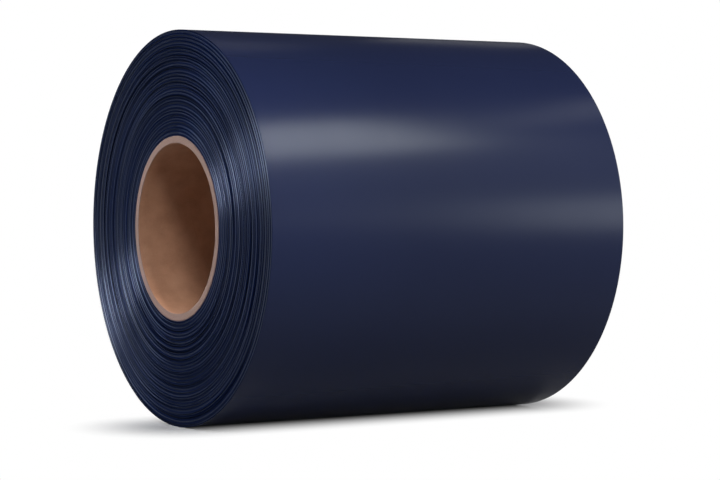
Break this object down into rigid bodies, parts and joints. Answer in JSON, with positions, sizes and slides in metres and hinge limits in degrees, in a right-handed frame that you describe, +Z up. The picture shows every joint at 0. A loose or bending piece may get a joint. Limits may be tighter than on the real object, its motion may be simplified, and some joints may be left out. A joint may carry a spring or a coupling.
{
  "type": "prepainted steel coil",
  "caption": "Coil of dark blue painted steel strip wound on a kraft board core, lying on its side, with the core's bore open from end to end for a mandrel.",
  "frame": {"origin": "on the floor, under the middle of the coil", "axes": "+X along the coil's axis, from the end that the picture shows to the hidden one; +Z up; the viewer stands on the -Y side"},
  "size_m": [1.2215, 1.1794, 1.1798],
  "materials": {
    "painted_strip": "satin navy coil paint, with the strip's cut edges showing as fine rings on both ends",
    "kraft_board": "uncoated brown kraft board"
  },
  "bodies": {
    "root": {"wound_strip": "painted_strip", "core_tube": "kraft_board"}
  },
  "joints": []
}
